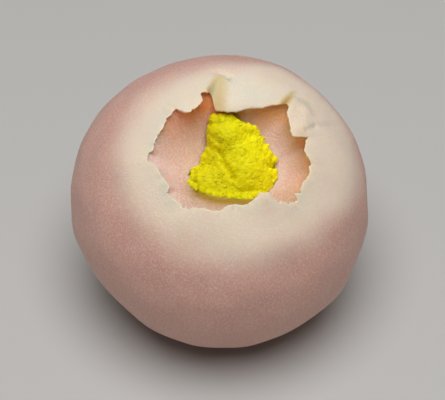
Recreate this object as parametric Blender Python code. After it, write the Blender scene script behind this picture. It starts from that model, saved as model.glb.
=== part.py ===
"""A nerikiri: a ball of soft sweet dough, its thin skin torn open on top over a hollow with a heap of crumb.

The ball stands on its own flattened foot. Its mouth looks up and a little to the front, and places round
the mouth are given as two angles in the mouth's own frame: the polar angle, from the mouth's axis out, and
the turn, from the right-hand side round by the back. Metres, +Z up, front towards -Y.
"""

import math
import random

import bmesh
import bpy
import numpy as np
from mathutils import Matrix, Vector

MM = 0.001

# The ball
BALL_RADIUS = 21.5 * MM
CENTRE_HEIGHT = 0.9 * BALL_RADIUS
FOOT_EASE = 0.8 * MM
FOOT_POLAR = 160.0
# Marks of the palm: azimuth, elevation, spread (degrees) and height of each soft bump or flat
PALM_MARKS = (
    (161, 17, 24, 0.5 * MM),
    (190, -8, 22, 0.4 * MM),
    (216, -29, 20, -0.6 * MM),
    (97, 44, 26, -0.4 * MM),
    (36, 29, 18, -0.2 * MM),
    (324, -29, 16, 0.4 * MM),
)

# The mouth
MOUTH_TILT = math.radians(25)
MOUTH_SWAY = math.radians(3)
TILT_HELD_TO = 50.0
# The torn edge of the skin: turn and polar angle of each point where the tear changes course
TEAR = (
    (2, 31.0),
    (15, 31.5),
    (19, 26.3),
    (26, 26.1),
    (38, 28.9),
    (49, 40.5),
    (52, 33.9),
    (57, 27.4),
    (74, 23.6),
    (90, 21.4),
    (98, 21.4),
    (104, 22.4),
    (106, 27.5),
    (113, 28.0),
    (116, 23.9),
    (125, 22.2),
    (136, 23.6),
    (138, 27.3),
    (148, 28.0),
    (171, 29.0),
    (184, 31.4),
    (192, 26.9),
    (205, 26.5),
    (214, 28.2),
    (224, 26.7),
    (231, 27.6),
    (247, 23.6),
    (281, 20.8),
    (298, 20.2),
    (309, 20.3),
    (315, 27.1),
    (325, 32.0),
    (335, 30.3),
    (348, 32.4),
    (356, 32.6),
)
TEAR_NOISE = 0.5
TEAR_SEED = 7

# The flap at the back, which hangs into the hollow from a hinge and curls down at its left end
FLAP_HINGE = 37.0
FLAP_REACH = 17.0
FLAP_DROOP = 2.4 * MM
FLAP_DROOP_POWER = 1.5
FLAP_CURL = 1.2 * MM
FLAP_CURL_WIDTH = 11.0
FLAP_RIGHT_TURN = 44.0
FLAP_RIGHT_EASE = 8.0
# The pleat at the flap's left: its foot at the tear, then how far it leans right for each degree back
PLEAT_ACROSS = -8.7
PLEAT_BACK = 27.7
PLEAT_LEAN = 0.67
PLEAT_EASE = 2.6
# Lumps and folds by the tear: turn, polar angle, spread (degrees) and height
LUMPS = (
    (306, 22.5, 2.6, 0.7 * MM),
    (35, 37.0, 3.5, 0.45 * MM),
    (24, 32.0, 3.0, 0.35 * MM),
)

# The outer dough
SKIN_EDGE = 0.5 * MM
SKIN_BODY = 2.5 * MM
SKIN_TAPER = 18.0
SKIN_THIN_MARGIN = 5.0
SKIN_COLUMNS = 96
OUTER_LIP_ROWS = 4
INNER_LIP_ROWS = 3
SIDE_ROWS = 8
OUTSIDE_FINENESS = 2
SIDE_ROWS_POWER = 1.15

# The pink dough inside, with the hollow in its top
GAP = 0.3 * MM
# Turn and polar angle of the hollow's upper edge, which lies under the skin. The wall under it bulges
# outward, less towards the front and not at all where the turn's sine is under HOLLOW_BULGE_FRONT
HOLLOW_EDGE = (
    (0, 37),
    (45, 44),
    (90, 38),
    (135, 34),
    (180, 34),
    (225, 31),
    (265, 26),
    (300, 26),
    (325, 36),
)
HOLLOW_FLOOR = 0.42 * BALL_RADIUS
HOLLOW_FLOOR_BACK = 1.0 * MM
HOLLOW_SQUARENESS = 2.6
HOLLOW_BULGE = 0.9 * MM
HOLLOW_BULGE_FRONT = -0.6
CORE_COLUMNS = 48
HOLLOW_ROWS = 9

# The crumb, in the mouth's frame from the ball's centre and in mm: centre and half sizes of each clump
CLUMPS = (
    ((-0.2, 5.1, 13.1), (3.0, 2.6, 3.2)),
    ((2.6, 3.6, 12.2), (3.0, 2.8, 2.9)),
    ((4.5, 0.9, 10.9), (2.8, 2.9, 2.5)),
    ((3.4, -1.4, 10.0), (2.9, 2.2, 2.0)),
    ((-1.9, -0.5, 10.4), (2.9, 2.3, 2.2)),
    ((-4.2, -0.8, 9.9), (1.4, 1.1, 1.0)),
    ((0.9, 1.7, 11.2), (2.4, 2.1, 2.3)),
    ((0.9, -1.4, 9.6), (2.6, 2.1, 2.1)),
    ((-1.5, 2.5, 11.8), (1.9, 2.0, 2.4)),
)
CLUMP_SUBDIVISIONS = 2
CRUMB_COUNT = 110
CRUMB_RADIUS = (0.4 * MM, 0.75 * MM)
CRUMB_UNEVENNESS = 0.15
CRUMB_SUNK = 0.25
CRUMB_SPACING = 0.85
CLUMP_BURIES = 0.93
CRUMB_SEED = 11

SKIN_COLOUR = (0.62, 0.42, 0.33)
CORE_COLOUR = (0.66, 0.36, 0.28)
CRUMB_COLOUR = (0.76, 0.64, 0.01)
DOUGH_ROUGHNESS = 0.55
CRUMB_ROUGHNESS = 0.7


def smooth_step(value):
    value = min(max(value, 0.0), 1.0)
    return value * value * (3.0 - 2.0 * value)


def eased_table(table, turn):
    """The value at this turn (degrees) of a closed table of (turn, value), eased between its points."""
    points = list(table) + [(table[0][0] + 360, table[0][1])]
    turn = (turn - table[0][0]) % 360 + table[0][0]
    for (start, first), (end, second) in zip(points, points[1:]):
        if turn <= end:
            return first + (second - first) * smooth_step((turn - start) / (end - start))
    return table[0][1]


def mouth_frame():
    """Rotation from the mouth's frame (right, back, up) to the ball's."""
    return Matrix.Rotation(MOUTH_TILT, 3, "X") @ Matrix.Rotation(MOUTH_SWAY, 3, "Y")


def heading(polar, turn):
    """Unit direction from the ball's centre: in the mouth's frame near the mouth, upright at the foot."""
    held = 1.0 - smooth_step((polar - TILT_HELD_TO) / (180.0 - TILT_HELD_TO))
    across = math.sin(math.radians(polar))
    direction = Vector(
        (
            across * math.cos(math.radians(turn)),
            across * math.sin(math.radians(turn)),
            math.cos(math.radians(polar)),
        )
    )
    sway = Matrix.Rotation(MOUTH_SWAY * held, 3, "Y")
    return Matrix.Rotation(MOUTH_TILT * held, 3, "X") @ sway @ direction


def ball_radius(direction):
    radius = BALL_RADIUS
    for azimuth, elevation, spread, height in PALM_MARKS:
        flat = math.cos(math.radians(elevation))
        mark = Vector(
            (
                flat * math.cos(math.radians(azimuth)),
                flat * math.sin(math.radians(azimuth)),
                math.sin(math.radians(elevation)),
            )
        )
        away = direction.angle(mark) / math.radians(spread)
        radius += height * math.exp(-away * away)
    return radius


def flap_sink(polar, turn):
    """How far the flap at the back hangs below the ball's surface."""
    across = polar * math.cos(math.radians(turn))
    back = polar * math.sin(math.radians(turn))
    hung = max(FLAP_HINGE - back, 0.0) / FLAP_REACH
    from_pleat = across - PLEAT_ACROSS - max(back - PLEAT_BACK, 0.0) * PLEAT_LEAN
    curl = FLAP_CURL * (1.0 - smooth_step(from_pleat / FLAP_CURL_WIDTH)) * smooth_step(2.0 * hung)
    droop = FLAP_DROOP * hung**FLAP_DROOP_POWER
    within = smooth_step(from_pleat / PLEAT_EASE) * smooth_step((turn - FLAP_RIGHT_TURN) / FLAP_RIGHT_EASE)
    return (droop + curl) * within if back > 0 else 0.0


def lump_height(polar, turn):
    height = 0.0
    for lump_turn, lump_polar, spread, lump in LUMPS:
        away = heading(polar, turn).angle(heading(lump_polar, lump_turn)) / math.radians(spread)
        height += lump * math.exp(-away * away)
    return height


def tear_polar(turn, noise):
    turns = [point[0] for point in TEAR]
    polars = [point[1] for point in TEAR]
    return float(np.interp(turn, turns, polars, period=360)) + TEAR_NOISE * noise


def tear_noises():
    """One small offset for each column of the skin, so that the torn edge is ragged."""
    draw = random.Random(TEAR_SEED)
    return [draw.uniform(-1.0, 1.0) for _ in range(SKIN_COLUMNS)]


def skin_thickness(polar, turn):
    """Thin over the hollow, and from there thicker down the sides."""
    thin_to = eased_table(HOLLOW_EDGE, turn) - SKIN_THIN_MARGIN
    return SKIN_EDGE + (SKIN_BODY - SKIN_EDGE) * smooth_step((polar - thin_to) / SKIN_TAPER)


def settled(point, floor):
    """The point kept above a floor, with the corner between ball and floor eased."""
    over = point.z - floor
    if over <= -FOOT_EASE:
        height = 0.0
    elif over < FOOT_EASE:
        height = (over + FOOT_EASE) ** 2 / (4.0 * FOOT_EASE)
    else:
        height = over
    return Vector((point.x, point.y, floor + height))


def ball_point(polar, turn, depth, floor):
    """A point this deep under the ball's surface, and no lower than this floor. Lumps are outside only."""
    direction = heading(polar, turn)
    radius = ball_radius(direction) - flap_sink(polar, turn) - depth
    if depth == 0.0:
        radius += lump_height(polar, turn)
    return settled(Vector((0.0, 0.0, CENTRE_HEIGHT)) + direction * radius, floor)


def side_polar(step, turn):
    """Polar angle of a row on the side, from the hollow's edge (step 0) to the middle of the foot."""
    if step == SIDE_ROWS:
        return 180.0
    edge = eased_table(HOLLOW_EDGE, turn)
    share = min(step / (SIDE_ROWS - 1), 1.0)
    return edge + (FOOT_POLAR - edge) * share**SIDE_ROWS_POWER


def outer_dough_point(row, column, noises):
    """Row 0 is inside at the bottom, the middle rows are the torn lip, and the last is under the foot."""
    turn = 360.0 * column / SKIN_COLUMNS
    hollow_edge = eased_table(HOLLOW_EDGE, turn)
    overhang = tear_polar(turn, noises[column]) - hollow_edge
    if row <= SIDE_ROWS:
        polar = side_polar(SIDE_ROWS - row, turn)
        return ball_point(polar, turn, skin_thickness(polar, turn), SKIN_BODY)
    if row <= SIDE_ROWS + INNER_LIP_ROWS:
        polar = hollow_edge + overhang * (row - SIDE_ROWS) / INNER_LIP_ROWS
        return ball_point(polar, turn, skin_thickness(polar, turn), SKIN_BODY)
    lip_step = row - SIDE_ROWS - INNER_LIP_ROWS - 1
    if lip_step < OUTER_LIP_ROWS:
        polar = hollow_edge + overhang * (1.0 - lip_step / OUTER_LIP_ROWS)
        return ball_point(polar, turn, 0.0, 0.0)
    side_step = (lip_step - OUTER_LIP_ROWS) / OUTSIDE_FINENESS
    return ball_point(side_polar(side_step, turn), turn, 0.0, 0.0)


def hollow_point(share, turn, top, gap):
    """A point of the hollow's wall, from its upper edge (share 0) to the middle of its floor (share 1)."""
    frame = mouth_frame()
    middle = Vector((0.0, 0.0, CENTRE_HEIGHT)) + frame @ Vector((0.0, HOLLOW_FLOOR_BACK, HOLLOW_FLOOR + gap))
    reach = frame.transposed() @ (top - middle)
    angle = share * math.pi / 2.0
    power = 2.0 / HOLLOW_SQUARENESS
    aside = math.cos(angle) ** power if share < 1.0 else 0.0
    up = 1.0 - math.sin(angle) ** power
    from_front = (math.sin(math.radians(turn)) - HOLLOW_BULGE_FRONT) / (1.0 - HOLLOW_BULGE_FRONT)
    bulge = HOLLOW_BULGE * math.sin(2.0 * angle) * smooth_step(from_front)
    outward = Vector((reach.x, reach.y, 0.0)).normalized()
    inner = Vector((reach.x * aside, reach.y * aside, reach.z * up)) + outward * (bulge - gap * aside)
    return middle + frame @ inner


def pink_core_point(row, column, grown):
    """Row 0 is the middle of the hollow's floor, and the last is the bottom. It is grown all round."""
    turn = 360.0 * column / CORE_COLUMNS
    polar = side_polar(max(row - HOLLOW_ROWS, 0), turn)
    side = ball_point(polar, turn, skin_thickness(polar, turn) + GAP - grown, SKIN_BODY + GAP - grown)
    if row >= HOLLOW_ROWS:
        return side
    return hollow_point(1.0 - row / HOLLOW_ROWS, turn, side, grown)


def pushed_in_ball(name, columns, rows, place):
    """A ball whose top is pushed in: a UV sphere whose rows and columns are moved to place(row, column)."""
    mesh = bpy.data.meshes.new(name)
    build = bmesh.new()
    bmesh.ops.create_uvsphere(build, u_segments=columns, v_segments=rows, radius=1.0)
    for vertex in build.verts:
        row = round(math.acos(max(-1.0, min(1.0, vertex.co.z))) / math.pi * rows)
        column = round(math.atan2(vertex.co.y, vertex.co.x) / math.tau * columns) % columns
        vertex.co = place(row, column)
    bmesh.ops.recalc_face_normals(build, faces=build.faces)
    build.to_mesh(mesh)
    build.free()
    return bpy.data.objects.new(name, mesh)


def crumb_ball(name, centre, half_sizes, subdivisions, draw):
    """A ball of crumb at a place in the mouth's frame, its facets turned at random."""
    mesh = bpy.data.meshes.new(name)
    build = bmesh.new()
    bmesh.ops.create_icosphere(build, subdivisions=subdivisions, radius=1.0)
    place = (
        Matrix.Translation((0.0, 0.0, CENTRE_HEIGHT))
        @ mouth_frame().to_4x4()
        @ Matrix.Translation(centre)
        @ Matrix.Diagonal((*half_sizes, 1.0))
        @ Matrix.Rotation(draw.uniform(0.0, math.tau), 4, random_direction(draw))
    )
    bmesh.ops.transform(build, matrix=place, verts=build.verts)
    build.to_mesh(mesh)
    build.free()
    return bpy.data.objects.new(name, mesh)


def crumb_spots(draw):
    """Centres and radii of the crumbs that stand out of the clumps, none of them buried in another clump."""
    clumps = [(Vector(centre) * MM, Vector(sizes) * MM) for centre, sizes in CLUMPS]
    areas = [sizes.x * sizes.y + sizes.y * sizes.z + sizes.z * sizes.x for _, sizes in clumps]
    spots = []
    while len(spots) < CRUMB_COUNT:
        centre, sizes = draw.choices(clumps, weights=areas)[0]
        direction = random_direction(draw)
        radius = draw.uniform(*CRUMB_RADIUS)
        spot = centre + direction * (sizes - Vector((radius, radius, radius)) * CRUMB_SUNK)
        buried = any(
            Vector([(spot[i] - other[i]) / half[i] for i in range(3)]).length < CLUMP_BURIES
            for other, half in clumps
            if other != centre
        )
        crowded = any((spot - other).length < CRUMB_SPACING * (radius + near) for other, near in spots)
        if not buried and not crowded and spot.z > HOLLOW_FLOOR:
            spots.append((spot, radius))
    return spots


def random_direction(draw):
    return Vector([draw.gauss(0.0, 1.0) for _ in range(3)]).normalized()


def apply_modifiers(target):
    bpy.context.view_layer.update()
    mesh = bpy.data.meshes.new_from_object(target.evaluated_get(bpy.context.evaluated_depsgraph_get()))
    target.modifiers.clear()
    old = target.data
    target.data = mesh
    bpy.data.meshes.remove(old)


def crumb_pieces(draw):
    """A collection of overlapping clumps and crumbs, without the first clump."""
    pieces = bpy.data.collections.new("crumb pieces")
    bpy.context.scene.collection.children.link(pieces)
    for centre, sizes in CLUMPS[1:]:
        clump = crumb_ball("clump", Vector(centre) * MM, Vector(sizes) * MM, CLUMP_SUBDIVISIONS, draw)
        pieces.objects.link(clump)
    for spot, radius in crumb_spots(draw):
        uneven = [radius * (1.0 + CRUMB_UNEVENNESS * draw.uniform(-1.0, 1.0)) for _ in range(3)]
        pieces.objects.link(crumb_ball("crumb", spot, uneven, 1, draw))
    return pieces


def yellow_crumb(bed):
    """The first clump, joined with the other pieces by one union, then cut where the bed carries it."""
    draw = random.Random(CRUMB_SEED)
    centre, sizes = CLUMPS[0]
    heap = crumb_ball("yellow_crumb", Vector(centre) * MM, Vector(sizes) * MM, CLUMP_SUBDIVISIONS, draw)
    bpy.data.collections["nerikiri"].objects.link(heap)
    pieces = crumb_pieces(draw)
    joined = heap.modifiers.new("joined", "BOOLEAN")
    joined.operation = "UNION"
    joined.operand_type = "COLLECTION"
    joined.collection = pieces
    bedded = heap.modifiers.new("bedded", "BOOLEAN")
    bedded.operation = "DIFFERENCE"
    bedded.object = bed
    apply_modifiers(heap)
    for piece in list(pieces.objects):
        bpy.data.objects.remove(piece)
    bpy.data.collections.remove(pieces)
    return heap


def crumb_bed():
    """The cutter under the heap: the pink dough grown by the gap."""
    bed = pushed_in_ball(
        "crumb_bed",
        CORE_COLUMNS,
        HOLLOW_ROWS + SIDE_ROWS,
        lambda row, column: pink_core_point(row, column, GAP),
    )
    bed.hide_render = True
    bed.display_type = "WIRE"
    bpy.data.collections["cutters"].objects.link(bed)
    return bed


def outer_dough():
    noises = tear_noises()
    outer = pushed_in_ball(
        "outer_dough",
        SKIN_COLUMNS,
        SIDE_ROWS + INNER_LIP_ROWS + 1 + OUTER_LIP_ROWS + OUTSIDE_FINENESS * SIDE_ROWS,
        lambda row, column: outer_dough_point(row, column, noises),
    )
    bpy.data.collections["nerikiri"].objects.link(outer)
    return outer


def pink_core():
    core = pushed_in_ball(
        "pink_core",
        CORE_COLUMNS,
        HOLLOW_ROWS + SIDE_ROWS,
        lambda row, column: pink_core_point(row, column, 0.0),
    )
    bpy.data.collections["nerikiri"].objects.link(core)
    return core


def give_material(piece, colour, roughness):
    material = bpy.data.materials.new(piece.name)
    material.use_nodes = True
    shader = material.node_tree.nodes["Principled BSDF"]
    shader.inputs["Base Color"].default_value = (*colour, 1.0)
    shader.inputs["Roughness"].default_value = roughness
    shader.inputs["Metallic"].default_value = 0.0
    piece.data.materials.clear()
    piece.data.materials.append(material)


def stand_at_origin(parts, cutter):
    """Moves the meshes so that the middle of the box round the parts is over the origin."""
    corners = np.array([vertex.co for piece in parts for vertex in piece.data.vertices])
    middle = (corners.min(axis=0) + corners.max(axis=0)) / 2.0
    for piece in (*parts, cutter):
        piece.data.transform(Matrix.Translation((-middle[0], -middle[1], 0.0)))


def main():
    for piece in list(bpy.data.objects):
        bpy.data.objects.remove(piece, do_unlink=True)
    for name in ("nerikiri", "cutters"):
        bpy.context.scene.collection.children.link(bpy.data.collections.new(name))
    outer = outer_dough()
    core = pink_core()
    bed = crumb_bed()
    crumb = yellow_crumb(bed)
    for piece in (outer, core, crumb):
        piece.data.shade_smooth()
    give_material(outer, SKIN_COLOUR, DOUGH_ROUGHNESS)
    give_material(core, CORE_COLOUR, DOUGH_ROUGHNESS)
    give_material(crumb, CRUMB_COLOUR, CRUMB_ROUGHNESS)
    stand_at_origin((outer, core, crumb), bed)


main()
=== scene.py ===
"""The looks of a nerikiri: a ball of soft sweet dough, its thin skin torn open over a heap of yellow crumb.

Lengths are in metres, +Z up, the front towards -Y. Places round the mouth are given in the mouth's own frame,
as a polar angle from the mouth's axis and a turn from the right-hand side round by the back, both in degrees.
On the map of the mouth the same place is polar * cos(turn) across and polar * sin(turn) back.
"""

import math
import random

import bpy
import numpy as np
from bpy.props import FloatProperty, FloatVectorProperty, IntProperty, PointerProperty
from mathutils import Matrix, Vector, kdtree


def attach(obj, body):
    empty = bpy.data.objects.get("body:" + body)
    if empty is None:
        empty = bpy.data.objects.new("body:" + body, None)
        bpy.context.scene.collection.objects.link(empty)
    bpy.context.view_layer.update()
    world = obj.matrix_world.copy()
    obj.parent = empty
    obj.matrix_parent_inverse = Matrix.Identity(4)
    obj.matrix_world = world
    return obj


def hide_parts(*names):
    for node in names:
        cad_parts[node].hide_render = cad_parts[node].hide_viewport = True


bl_info = {
    "name": "Nerikiri",
    "version": (1, 0, 0),
    "blender": (4, 5, 0),
    "location": "3D View > Sidebar > Nerikiri",
    "description": "Dresses the packed solids of a nerikiri with torn dough, a pink hollow and yellow crumb",
    "category": "Object",
}

MM = 0.001

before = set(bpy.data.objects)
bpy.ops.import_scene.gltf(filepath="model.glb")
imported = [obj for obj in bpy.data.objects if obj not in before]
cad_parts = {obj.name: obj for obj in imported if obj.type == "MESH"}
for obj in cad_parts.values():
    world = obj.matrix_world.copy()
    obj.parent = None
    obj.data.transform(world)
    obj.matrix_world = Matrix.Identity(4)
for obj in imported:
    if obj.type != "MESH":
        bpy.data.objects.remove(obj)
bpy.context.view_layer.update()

# The ball, as in the solids. The box round them is over the origin, so the ball's centre is a little aside
BALL_RADIUS = 21.5 * MM
CENTRE_HEIGHT = 0.9 * BALL_RADIUS
BALL_CENTRE = np.array((0.247 * MM, 0.042 * MM, CENTRE_HEIGHT))
FOOT_EASE = 0.8 * MM
# Marks of the palm: azimuth, elevation, spread (degrees) and height of each soft bump or flat
PALM_MARKS = (
    (161, 17, 24, 0.5 * MM),
    (190, -8, 22, 0.4 * MM),
    (216, -29, 20, -0.6 * MM),
    (97, 44, 26, -0.4 * MM),
    (36, 29, 18, -0.2 * MM),
    (324, -29, 16, 0.4 * MM),
)
# Faint swells all over the ball: how many, their lengths and their height
SWELL_COUNT = 24
SWELL_LENGTH = (5.0 * MM, 14.0 * MM)
SWELL_HEIGHT = 0.022 * MM
SWELL_SEED = 5

# The mouth, as in the solids
MOUTH_TILT = math.radians(25)
MOUTH_SWAY = math.radians(3)
TILT_HELD_TO = 50.0
# Length of a degree on the ball
DEGREE = math.radians(1.0) * BALL_RADIUS
# The torn edge of the skin: turn and polar angle of each point where the tear changes course
TEAR = (
    (1.5, 30.4), (6.0, 29.5), (13.3, 30.8), (15.9, 32.4), (16.1, 31.0), (16.3, 29.2), (16.6, 28.3),
    (16.9, 26.9), (17.6, 25.5), (22.1, 25.2), (28.5, 26.3), (35.6, 27.8), (39.3, 29.0), (42.0, 31.7),
    (45.5, 32.6), (49.3, 32.5), (53.0, 30.7), (57.8, 26.9), (67.6, 24.2), (73.8, 22.5), (80.7, 21.0),
    (90.0, 20.4), (99.1, 21.6), (103.5, 22.8), (103.8, 24.8), (104.0, 27.6), (104.7, 28.4), (108.0, 26.9),
    (111.0, 27.6), (113.7, 26.7), (114.0, 25.0), (114.9, 23.2), (119.8, 21.9), (125.6, 21.3), (132.0, 21.9),
    (136.0, 22.9), (136.8, 24.9), (137.6, 27.2), (143.0, 26.8), (148.4, 28.0), (150.4, 27.0), (157.3, 27.1),
    (165.7, 28.2), (171.2, 28.8), (176.0, 29.0), (178.7, 30.8), (184.2, 31.2), (186.8, 29.2), (191.3, 27.3),
    (195.9, 27.0), (204.0, 26.2), (209.1, 25.7), (212.4, 26.5), (214.1, 28.2), (217.4, 27.8), (222.4, 27.3),
    (228.2, 26.9), (231.5, 27.6), (239.6, 25.0), (247.8, 23.5), (254.5, 23.5), (260.0, 23.2), (264.3, 22.1),
    (268.9, 20.7), (277.2, 20.5), (285.2, 21.1), (289.4, 21.1), (294.2, 20.7), (300.0, 19.9), (306.0, 19.4),
    (310.7, 19.8), (312.6, 21.3), (313.0, 23.1), (313.4, 25.0), (314.3, 26.9), (318.2, 27.6), (321.5, 28.9),
    (323.1, 30.7), (324.7, 31.9), (330.1, 30.5), (335.1, 30.3), (341.0, 30.3), (346.0, 31.5), (350.2, 32.0),
    (353.9, 31.4), (356.3, 32.4), (357.9, 31.9),
)
# The fine raggedness of the tear: waves round the mouth, from the longest to the shortest, how they weaken,
# and by what share each is drawn weaker
TEAR_WAVES = (18, 170)
TEAR_WAVE_FALL = 0.55
TEAR_WAVE_STRENGTH = (0.3, 1.0)
TEAR_SEED = 7
# How much of it there is at each turn. The flap and the tongue at the right have smoother edges
TEAR_RAGGED = (
    (0, 0.9), (20, 0.5), (60, 0.35), (100, 0.35), (115, 0.8), (180, 1.1), (300, 1), (315, 4), (328, 4),
    (340, 0.9),
)
TEAR_STEPS = 7200
# By this share the skin's columns are spaced along the tear, and for the rest by their turn
COLUMNS_BY_TEAR = 0.7

# The flap at the back, which hangs into the hollow from a hinge and curls down at its left end
FLAP_HINGE = 37.0
FLAP_REACH = 17.0
FLAP_DROOP = 2.4 * MM
FLAP_DROOP_POWER = 2.0
# The curl grows between these shares of the way from the hinge to the flap's reach
FLAP_CURL = 1.5 * MM
FLAP_CURL_HUNG = (0.0, 0.8)
FLAP_RIGHT_TURN = 44.0
FLAP_RIGHT_EASE = 8.0
# The pleat at the flap's left, and the crest from which the flap curls down towards it: across and back of
# the lower end of each, and how far it leans across for each degree back
PLEAT = (-8.7, 27.4, 0.45)
PLEAT_EASE = 3.0
CREST = (-0.6, 21.0, 0.14)
CREST_SHARPNESS = 1.3
# Lumps by the tear: turn, polar angle, spread (degrees) and height
LUMPS = (
    (306, 22.0, 3.4, 0.28 * MM),
    (35, 37.0, 3.5, 0.45 * MM),
    (24, 32.0, 3.0, 0.28 * MM),
)
# Folds and ridges on the map of the mouth: across and back of each end, half width (degrees) and height
FOLDS = (
    ((-8.7, 36.9), (-3.9, 37.8), 1.0, -0.12 * MM),
    ((-3.9, 37.8), (0.4, 35.0), 1.2, -0.26 * MM),
    ((0.4, 35.0), (1.2, 33.0), 1.0, -0.18 * MM),
    ((27.6, 31.4), (31.5, 33.5), 1.2, -0.12 * MM),
    ((29.5, 29.0), (34.0, 28.0), 2.4, -0.12 * MM),
    ((30.0, 11.6), (35.0, 15.2), 1.0, -0.16 * MM),
    ((35.0, 15.2), (44.1, 19.4), 1.4, -0.14 * MM),
    ((44.1, 19.4), (54.9, 22.0), 2.4, -0.08 * MM),
    ((31.5, 15.5), (43.0, 22.5), 2.4, 0.12 * MM),
    ((22.8, 16.3), (26.2, 16.8), 0.9, -0.08 * MM),
    ((24.2, 20.8), (27.0, 27.0), 1.6, 0.12 * MM),
    ((32.9, -2.0), (41.7, -1.5), 1.4, -0.07 * MM),
    ((33.5, -4.5), (47.3, -5.0), 2.4, 0.06 * MM),
    ((-17.0, -26.0), (-14.0, -31.0), 3.0, 0.06 * MM),
    ((12.0, -34.0), (30.0, -30.0), 4.0, 0.06 * MM),
)

# The skin's thickness, as in the solids
SKIN_EDGE = 0.5 * MM
SKIN_BODY = 2.5 * MM
SKIN_TAPER = 18.0
SKIN_THIN_MARGIN = 5.0
# The columns and rows of its mesh, and how the rows crowd towards the mouth
SKIN_COLUMNS = 480
UNDERSIDE_ROWS = 10
UNDER_LIP_ROWS = 14
EDGE_ROWS = 8
LIP_ROWS = 40
OUTSIDE_ROWS = 76
LIP_ROWS_POWER = 1.25
SIDE_ROWS_POWER = 1.05
# The lip is thinner than the solid's at its torn edge, and thins to it over this length
EDGE_THICKNESS = 0.27 * MM
EDGE_THINS_OVER = 0.9 * MM
# The torn edge lifts and dips a little: how much, how far from the tear, and how far down the ball at most.
# Its waves are the first share of the tear's own, and grow with the tear's raggedness up to a most
EDGE_LIFT = 0.06 * MM
EDGE_LIFT_OVER = 1.2 * MM
EDGE_LIFT_TO = 60.0
EDGE_LIFT_WAVES = 0.37
EDGE_LIFT_MOST = 1.1

# Polar angle at which the cream of the mouth has half turned to pink, and half the width of that change
BLUSH_MIDDLE = (
    (0, 64), (30, 63), (60, 57), (90, 43), (120, 43), (150, 45), (180, 45), (210, 42.5), (240, 42), (270, 43),
    (300, 43.5), (330, 48),
)
BLUSH_HALF_WIDTH = 11.0
# How far from the tear the colour of the torn edge reaches
TORN_REACH = 0.6 * MM
# Where the flap's left face looks thin, with its shade painted in the same tan: how far back on the map it
# reaches, and how softly it ends there
SHADED_THIN_FACET_BACK = 34.0
SHADED_THIN_FACET_EASE = 4.0
# How far left of the pleat that face's tan starts, where on the map it starts to fade, and how far that takes
SHADED_THIN_FACET_LEFT = -1.6
SHADED_THIN_FACET_RIGHT = -3.8
SHADED_THIN_FACET_FADE = 6.4
# Streaks of thin dough on the map of the mouth: start, end, half width, and strength at each end. Above 1 the
# dough is so thin that the hollow's colour shows through. The last streak, by the lump at the front right, is
# painted shade.
THIN_AND_SHADED_STREAKS = (
    ((21.6, 22.6), (25.0, 28.0), 1.7, 2.2, 1.6),
    ((25.0, 28.0), (28.2, 32.6), 1.2, 1.6, 0.6),
    ((30.0, 25.0), (33.0, 28.0), 2.6, 0.25, 0.2),
    ((27.0, 20.0), (30.0, 18.0), 2.6, 0.2, 0.1),
    ((28.0, 9.0), (29.0, 14.0), 2.4, 0.5, 0.1),
    ((11.6, -16.4), (13.6, -18.4), 1.6, 0.4, 0.25),
)

# The pink dough inside, with the hollow in its top. Its gap to the skin is close where it lies flush under
# the tear, and opens with the degrees that it shows past the tear, and down the side
GAP = 0.3 * MM
CLOSE_GAP = 0.04 * MM
GAP_CLOSE_TO = 2.0
GAP_OPENS_OVER = 6.0
GAP_OPENS_DOWN = 4.0
# Turn and polar angle of the hollow's edge in the solids, under the skin
HOLLOW_EDGE = ((0, 37), (45, 44), (90, 38), (135, 34), (180, 34), (225, 31), (265, 26), (300, 26), (325, 36))
# How far the pink shows past the tear where it lies flush under the skin: turn and degrees
FLUSH_EDGE = (
    (0, 3.5), (25, 3.5), (48, 2), (62, 3.5), (85, 4.5), (99, 3.5), (106, 2), (118, 1.6), (140, 0.9),
    (160, 0.5), (190, 0.4), (225, 0.5), (300, 0.6), (330, 0.9), (345, 2.5),
)
# The tear is smoothed over this many degrees to each side for the hollow's edge
FLUSH_SPREAD = 4
HOLLOW_FLOOR = 0.42 * BALL_RADIUS
HOLLOW_FLOOR_BACK = 1.0 * MM
# How square the hollow is under its edge at each turn, where 2 is round
HOLLOW_SQUARENESS = ((0, 2.0), (60, 2.0), (95, 1.8), (115, 1.6), (180, 1.55), (230, 1.7), (300, 1.9))
# Under its edge the wall follows the edge smoothed over these degrees of turn, from this share of its depth
WALL_SMOOTHED_OVER = 14.0
WALL_SMOOTH_FROM = 0.26
# How far the wall slopes evenly to its edge at each turn, instead of standing upright, and its steepness
WALL_SLOPED = (
    (0, 0), (25, 0), (45, 0.3), (62, 0.8), (75, 1), (120, 1), (215, 1), (260, 0.8), (300, 0.4), (330, 0),
)
WALL_STEEPNESS = 1.55
# How strongly shade, warmed by a glow of light through the skin, is painted on the dough under the rim at
# each turn, and how far down the wall that reaches
RIM_SHADE_AND_GLOW = (
    (0, 1.1), (30, 1.1), (45, 1.5), (56, 1.5), (66, 1.0), (92, 1.0), (106, 1.6), (125, 1.0), (150, 0.6),
    (168, 0.1), (185, 0.0), (300, 0.0), (330, 0.3), (345, 0.9),
)
RIM_SHADE_AND_GLOW_REACH = 4.2 * MM
# The same painted shade and glow in a narrow line right under the torn edge
RIM_LINE_SHADE_AND_GLOW = ((0, 0.5), (120, 0.5), (140, 0.2), (160, 0.1), (240, 0.1), (330, 0.4))
RIM_LINE_SHADE_AND_GLOW_REACH = 0.7 * MM
# The heap's outline along which its shadow is painted on the dough, tinted yellow by the crumb, in the
# mouth's frame and in mm, and how far that painted shadow reaches
HEAP_SHADOW_EDGE = ((-3.8, -3.6), (-3.0, -4.1), (-1.8, -4.6), (0.0, -4.95), (1.5, -5.1), (3.2, -5.2))
HEAP_SHADOW_REACH = 1.5
# The wall bulges outward, less towards the front and not at all where the turn's sine is under this
HOLLOW_BULGE = 0.4 * MM
HOLLOW_BULGE_FRONT = -0.6
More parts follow.
